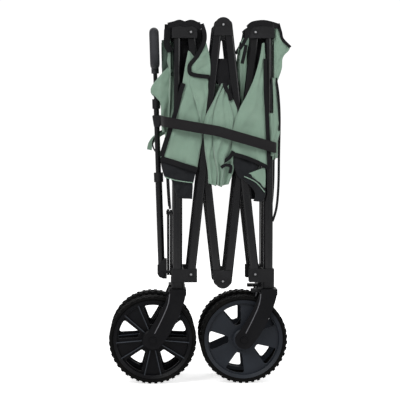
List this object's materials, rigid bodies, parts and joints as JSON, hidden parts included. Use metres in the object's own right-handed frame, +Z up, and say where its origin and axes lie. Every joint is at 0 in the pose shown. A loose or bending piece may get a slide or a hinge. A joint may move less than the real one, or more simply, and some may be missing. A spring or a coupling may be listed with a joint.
{
  "type": "folding camp wagon",
  "caption": "Folding camp wagon, folded flat and standing, with crossed scissor bars, telescoping posts and pull handle, cloth bag and wheels.",
  "frame": {"origin": "on the ground, midway between the four wheels", "axes": "+Z up; -X is the front, where the handle is; -Y is the near side"},
  "size_m": [0.365, 0.1718, 0.744],
  "materials": {
    "black_steel": "powder coat, satin black",
    "black_plastic": "moulded black nylon",
    "fork_plastic": "moulded black nylon, fine grain",
    "rim_black": "moulded, ribbed",
    "rim_grey": "moulded, smooth blue-grey",
    "tyre": "rubber, knobbed tread",
    "grip_rubber": "soft rubber",
    "bag_cloth": "woven polyester, sage green",
    "webbing": "woven black webbing"
  },
  "bodies": {
    "frame_front_near": {"lower_post_front_near": "black_steel", "lower_bracket_front_near": "black_plastic"},
    "rising_front_near": {"rising_bar_front_near": "black_steel"},
    "falling_front_near": {"falling_bar_front_near": "black_steel"},
    "bottom_hub_near": {"bottom_hub_near": "black_plastic"},
    "top_hub_near": {"top_hub_near": "black_plastic", "bag_near": "bag_cloth"},
    "rising_rear_near": {"rising_bar_rear_near": "black_steel"},
    "falling_rear_near": {"falling_bar_rear_near": "black_steel"},
    "upper_front_near": {"upper_post_front_near": "black_steel", "upper_bracket_front_near": "black_plastic", "bag_front": "bag_cloth"},
    "frame_rear_near": {"lower_post_rear_near": "black_steel", "lower_bracket_rear_near": "black_plastic", "fork_rear_near": "fork_plastic", "closing_strap": "webbing"},
    "upper_rear_near": {"upper_post_rear_near": "black_steel", "upper_bracket_rear_near": "black_plastic"},
    "front_outer": {"front_scissor_outer": "black_steel"},
    "front_inner": {"front_scissor_inner": "black_steel"},
    "frame_front_far": {"lower_post_front_far": "black_steel", "lower_bracket_front_far": "black_plastic"},
    "upper_front_far": {"upper_post_front_far": "black_steel", "upper_bracket_front_far": "black_plastic"},
    "rear_outer": {"rear_scissor_outer": "black_steel"},
    "rear_inner": {"rear_scissor_inner": "black_steel"},
    "frame_rear_far": {"lower_post_rear_far": "black_steel", "lower_bracket_rear_far": "black_plastic", "fork_rear_far": "fork_plastic"},
    "upper_rear_far": {"upper_post_rear_far": "black_steel", "upper_bracket_rear_far": "black_plastic", "bag_rear": "bag_cloth"},
    "rising_front_far": {"rising_bar_front_far": "black_steel"},
    "falling_front_far": {"falling_bar_front_far": "black_steel"},
    "bottom_hub_far": {"bottom_hub_far": "black_plastic"},
    "top_hub_far": {"top_hub_far": "black_plastic", "bag_far": "bag_cloth"},
    "rising_rear_far": {"rising_bar_rear_far": "black_steel"},
    "falling_rear_far": {"falling_bar_rear_far": "black_steel"},
    "handle_link_near": {"handle_link_near": "black_steel"},
    "handle_link_far": {"handle_link_far": "black_steel"},
    "handle_base": {"handle_base": "black_plastic"},
    "handle_outer": {"handle_outer_tube": "black_steel", "handle_lower_collar": "black_plastic"},
    "handle_middle": {"handle_middle_tube": "black_steel", "handle_upper_collar": "black_plastic"},
    "handle_inner": {"handle_inner_tube": "black_steel", "handle_grip": "grip_rubber"},
    "fork_front_near": {"fork_front_near": "fork_plastic"},
    "wheel_front_near": {"rim_front_near": "rim_black", "tyre_front_near": "tyre"},
    "wheel_rear_near": {"rim_rear_near": "rim_grey", "tyre_rear_near": "tyre"},
    "brake_lever_near": {"brake_lever_near": "black_plastic"},
    "fork_front_far": {"fork_front_far": "fork_plastic"},
    "wheel_front_far": {"rim_front_far": "rim_black", "tyre_front_far": "tyre"},
    "wheel_rear_far": {"rim_rear_far": "rim_grey", "tyre_rear_far": "tyre"},
    "brake_lever_far": {"brake_lever_far": "black_plastic"}
  },
  "joints": [
    {"name": "fold", "type": "hinge", "parent": "frame_front_near", "child": "rising_front_near", "pos_m": [-0.01449, -0.05392, 0.2223], "axis": [0, 1, 0], "range_deg": [0, 48.5]},
    {"name": "cross_pivot_front_near", "type": "hinge", "parent": "rising_front_near", "child": "falling_front_near", "pos_m": [0.01243, -0.05392, 0.46813], "axis": [0, 1, 0], "range_deg": [-97, 0]},
    {"name": "bottom_hub_pivot_near", "type": "hinge", "parent": "falling_front_near", "child": "bottom_hub_near", "pos_m": [0.041, -0.05392, 0.20729], "axis": [0, 1, 0], "range_deg": [0, 48.5]},
    {"name": "top_hub_pivot_front_near", "type": "hinge", "parent": "rising_front_near", "child": "top_hub_near", "pos_m": [0.041, -0.05392, 0.72897], "axis": [0, 1, 0], "range_deg": [-48.5, 0]},
    {"name": "top_hub_pivot_rear_near", "type": "hinge", "parent": "top_hub_near", "child": "rising_rear_near", "pos_m": [0.061, -0.05392, 0.72897], "axis": [0, 1, 0], "range_deg": [-48.5, 0]},
    {"name": "cross_pivot_rear_near", "type": "hinge", "parent": "rising_rear_near", "child": "falling_rear_near", "pos_m": [0.08957, -0.05392, 0.46813], "axis": [0, 1, 0], "range_deg": [0, 97]},
    {"name": "top_bracket_pivot_front_near", "type": "hinge", "parent": "falling_front_near", "child": "upper_front_near", "pos_m": [-0.01449, -0.05392, 0.71396], "axis": [0, 1, 0], "range_deg": [0, 48.5]},
    {"name": "bottom_bracket_pivot_rear_near", "type": "hinge", "parent": "rising_rear_near", "child": "frame_rear_near", "pos_m": [0.11649, -0.05392, 0.2223], "axis": [0, 1, 0], "range_deg": [0, 48.5]},
    {"name": "top_bracket_pivot_rear_near", "type": "hinge", "parent": "falling_rear_near", "child": "upper_rear_near", "pos_m": [0.11649, -0.05392, 0.71396], "axis": [0, 1, 0], "range_deg": [-48.5, 0]},
    {"name": "front_scissor_pivot_near", "type": "hinge", "parent": "frame_front_near", "child": "front_outer", "pos_m": [-0.04149, -0.02692, 0.2223], "axis": [1, 0, 0], "range_deg": [-48.5, 0]},
    {"name": "front_scissor_cross", "type": "hinge", "parent": "front_outer", "child": "front_inner", "pos_m": [-0.04149, 0, 0.46813], "axis": [1, 0, 0], "range_deg": [0, 97]},
    {"name": "front_scissor_pivot_far", "type": "hinge", "parent": "front_inner", "child": "frame_front_far", "pos_m": [-0.04149, 0.02692, 0.2223], "axis": [1, 0, 0], "range_deg": [-48.5, 0]},
    {"name": "top_bracket_pivot_front_far", "type": "hinge", "parent": "front_outer", "child": "upper_front_far", "pos_m": [-0.04149, 0.02692, 0.71396], "axis": [1, 0, 0], "range_deg": [0, 48.5]},
    {"name": "rear_scissor_pivot_near", "type": "hinge", "parent": "frame_rear_near", "child": "rear_outer", "pos_m": [0.14349, -0.02692, 0.2223], "axis": [1, 0, 0], "range_deg": [-48.5, 0]},
    {"name": "rear_scissor_cross", "type": "hinge", "parent": "rear_outer", "child": "rear_inner", "pos_m": [0.14349, 0, 0.46813], "axis": [1, 0, 0], "range_deg": [0, 97]},
    {"name": "rear_scissor_pivot_far", "type": "hinge", "parent": "rear_inner", "child": "frame_rear_far", "pos_m": [0.14349, 0.02692, 0.2223], "axis": [1, 0, 0], "range_deg": [-48.5, 0]},
    {"name": "top_bracket_pivot_rear_far", "type": "hinge", "parent": "rear_outer", "child": "upper_rear_far", "pos_m": [0.14349, 0.02692, 0.71396], "axis": [1, 0, 0], "range_deg": [0, 48.5]},
    {"name": "rising_bar_pivot_front_far", "type": "hinge", "parent": "frame_front_far", "child": "rising_front_far", "pos_m": [-0.01449, 0.05392, 0.2223], "axis": [0, 1, 0], "range_deg": [0, 48.5]},
    {"name": "cross_pivot_front_far", "type": "hinge", "parent": "rising_front_far", "child": "falling_front_far", "pos_m": [0.01243, 0.05392, 0.46813], "axis": [0, 1, 0], "range_deg": [-97, 0]},
    {"name": "bottom_hub_pivot_far", "type": "hinge", "parent": "falling_front_far", "child": "bottom_hub_far", "pos_m": [0.041, 0.05392, 0.20729], "axis": [0, 1, 0], "range_deg": [0, 48.5]},
    {"name": "top_hub_pivot_front_far", "type": "hinge", "parent": "rising_front_far", "child": "top_hub_far", "pos_m": [0.041, 0.05392, 0.72897], "axis": [0, 1, 0], "range_deg": [-48.5, 0]},
    {"name": "top_hub_pivot_rear_far", "type": "hinge", "parent": "top_hub_far", "child": "rising_rear_far", "pos_m": [0.061, 0.05392, 0.72897], "axis": [0, 1, 0], "range_deg": [-48.5, 0]},
    {"name": "cross_pivot_rear_far", "type": "hinge", "parent": "rising_rear_far", "child": "falling_rear_far", "pos_m": [0.08957, 0.05392, 0.46813], "axis": [0, 1, 0], "range_deg": [0, 97]},
    {"name": "handle_link_pivot_near", "type": "hinge", "parent": "front_outer", "child": "handle_link_near", "pos_m": [-0.04149, -0.01346, 0.34521], "axis": [1, 0, 0], "range_deg": [0, 97]},
    {"name": "handle_link_pivot_far", "type": "hinge", "parent": "front_inner", "child": "handle_link_far", "pos_m": [-0.04149, 0.01346, 0.34521], "axis": [1, 0, 0], "range_deg": [-97, 0]},
    {"name": "handle_base_pivot", "type": "hinge", "parent": "handle_link_near", "child": "handle_base", "pos_m": [-0.04149, 0, 0.2223], "axis": [1, 0, 0], "range_deg": [-48.5, 0]},
    {"name": "handle_swing", "type": "hinge", "parent": "handle_base", "child": "handle_outer", "pos_m": [-0.07349, 0, 0.218], "axis": [0, -1, 0], "range_deg": [0, 100]},
    {"name": "handle_lower_slide", "type": "slide", "parent": "handle_outer", "child": "handle_middle", "axis": [-0.0314, 0, 0.9995], "range_m": [0, 0.11]},
    {"name": "handle_upper_slide", "type": "slide", "parent": "handle_middle", "child": "handle_inner", "axis": [-0.0314, 0, 0.9995], "range_m": [0, 0.11]},
    {"name": "caster_swivel_near", "type": "hinge", "parent": "frame_front_near", "child": "fork_front_near", "pos_m": [-0.04149, -0.05392, 0.193], "axis": [0, 0, 1], "range_deg": [-8, 90]},
    {"name": "wheel_spin_front_near", "type": "hinge", "parent": "fork_front_near", "child": "wheel_front_near", "pos_m": [-0.09249, -0.05392, 0.09], "axis": [0, 1, 0], "continuous": true},
    {"name": "wheel_spin_rear_near", "type": "hinge", "parent": "frame_rear_near", "child": "wheel_rear_near", "pos_m": [0.09249, -0.05392, 0.09], "axis": [0, 1, 0], "continuous": true},
    {"name": "brake_lever_press_near", "type": "hinge", "parent": "frame_rear_near", "child": "brake_lever_near", "pos_m": [0.12319, -0.05392, 0.189], "axis": [0, -1, 0], "range_deg": [0, 8]},
    {"name": "caster_swivel_far", "type": "hinge", "parent": "frame_front_far", "child": "fork_front_far", "pos_m": [-0.04149, 0.05392, 0.193], "axis": [0, 0, -1], "range_deg": [-8, 90]},
    {"name": "wheel_spin_front_far", "type": "hinge", "parent": "fork_front_far", "child": "wheel_front_far", "pos_m": [-0.09249, 0.05392, 0.09], "axis": [0, 1, 0], "continuous": true},
    {"name": "wheel_spin_rear_far", "type": "hinge", "parent": "frame_rear_far", "child": "wheel_rear_far", "pos_m": [0.09249, 0.05392, 0.09], "axis": [0, 1, 0], "continuous": true},
    {"name": "brake_lever_press_far", "type": "hinge", "parent": "frame_rear_far", "child": "brake_lever_far", "pos_m": [0.12319, 0.05392, 0.189], "axis": [0, -1, 0], "range_deg": [0, 8]}
  ],
  "couplings": [
    {"joint": "cross_pivot_front_near", "follows": "fold", "ratio": -2},
    {"joint": "bottom_hub_pivot_near", "follows": "fold", "ratio": 1},
    {"joint": "top_hub_pivot_front_near", "follows": "fold", "ratio": -1},
    {"joint": "top_hub_pivot_rear_near", "follows": "fold", "ratio": -1},
    {"joint": "cross_pivot_rear_near", "follows": "fold", "ratio": 2},
    {"joint": "top_bracket_pivot_front_near", "follows": "fold", "ratio": 1},
    {"joint": "bottom_bracket_pivot_rear_near", "follows": "fold", "ratio": 1},
    {"joint": "top_bracket_pivot_rear_near", "follows": "fold", "ratio": -1},
    {"joint": "front_scissor_pivot_near", "follows": "fold", "ratio": -1},
    {"joint": "front_scissor_cross", "follows": "fold", "ratio": 2},
    {"joint": "front_scissor_pivot_far", "follows": "fold", "ratio": -1},
    {"joint": "top_bracket_pivot_front_far", "follows": "fold", "ratio": 1},
    {"joint": "rear_scissor_pivot_near", "follows": "fold", "ratio": -1},
    {"joint": "rear_scissor_cross", "follows": "fold", "ratio": 2},
    {"joint": "rear_scissor_pivot_far", "follows": "fold", "ratio": -1},
    {"joint": "top_bracket_pivot_rear_far", "follows": "fold", "ratio": 1},
    {"joint": "rising_bar_pivot_front_far", "follows": "fold", "ratio": 1},
    {"joint": "cross_pivot_front_far", "follows": "fold", "ratio": -2},
    {"joint": "bottom_hub_pivot_far", "follows": "fold", "ratio": 1},
    {"joint": "top_hub_pivot_front_far", "follows": "fold", "ratio": -1},
    {"joint": "top_hub_pivot_rear_far", "follows": "fold", "ratio": -1},
    {"joint": "cross_pivot_rear_far", "follows": "fold", "ratio": 2},
    {"joint": "handle_link_pivot_near", "follows": "fold", "ratio": 2},
    {"joint": "handle_link_pivot_far", "follows": "fold", "ratio": -2},
    {"joint": "handle_base_pivot", "follows": "fold", "ratio": -1}
  ]
}
